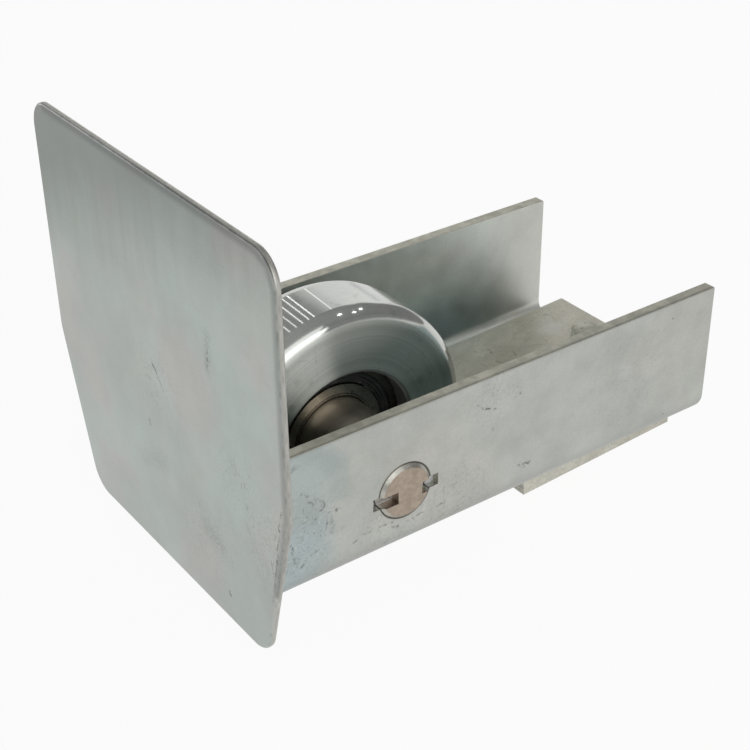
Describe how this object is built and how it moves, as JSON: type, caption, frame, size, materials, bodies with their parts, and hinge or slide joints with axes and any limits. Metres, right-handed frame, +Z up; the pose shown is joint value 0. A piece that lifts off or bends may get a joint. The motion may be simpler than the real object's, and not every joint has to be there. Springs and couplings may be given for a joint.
{
  "type": "cantilever gate end roller",
  "caption": "Zinc-plated end roller for a cantilever sliding gate: a channel bracket with an end plate, a steel wheel on a ball bearing and a bolted clamp.",
  "frame": {"origin": "back face of the end plate, on the channel's middle plane, level with the channel's underside", "axes": "+X from the end plate along the channel into the track, +Y across, +Z up"},
  "size_m": [0.1362, 0.1, 0.1111],
  "materials": {
    "zinc_plate": "zinc plated sheet, scratched",
    "zinc_channel": "zinc plated sheet, scratched and scuffed",
    "weld_metal": "zinc plated weld bead",
    "axle_steel": "turned",
    "turned_steel": "turned and zinc plated",
    "bearing_steel": "ground",
    "ball_steel": "polished",
    "cage_steel": "pressed sheet",
    "seal_rubber": "moulded, dull",
    "bar_steel": "zinc plated flat bar, scratched",
    "bolt_steel": "zinc plated"
  },
  "bodies": {
    "bracket": {"end_plate": "zinc_plate", "channel_bracket": "zinc_channel", "weld_near": "weld_metal", "weld_far": "weld_metal", "axle": "axle_steel", "bearing_inner_ring": "bearing_steel", "inner_clamp_bar": "bar_steel", "lower_clamp_bar": "bar_steel", "clamp_bolt": "bolt_steel"},
    "wheel_set": {"wheel": "turned_steel", "bearing_outer_ring": "bearing_steel", "bearing_seal_near": "seal_rubber", "bearing_seal_far": "seal_rubber"},
    "ball_set": {"bearing_balls": "ball_steel", "cage_half_near": "cage_steel", "cage_half_far": "cage_steel", "cage_rivets": "cage_steel"}
  },
  "joints": [
    {"name": "wheel_spin", "type": "hinge", "parent": "bracket", "child": "wheel_set", "pos_m": [0.0394, 0, 0.0164], "axis": [0, 1, 0], "continuous": true},
    {"name": "ball_set_spin", "type": "hinge", "parent": "bracket", "child": "ball_set", "pos_m": [0.0394, 0, 0.0164], "axis": [0, 1, 0], "continuous": true}
  ],
  "couplings": [
    {"joint": "ball_set_spin", "follows": "wheel_spin", "ratio": 0.58354}
  ]
}
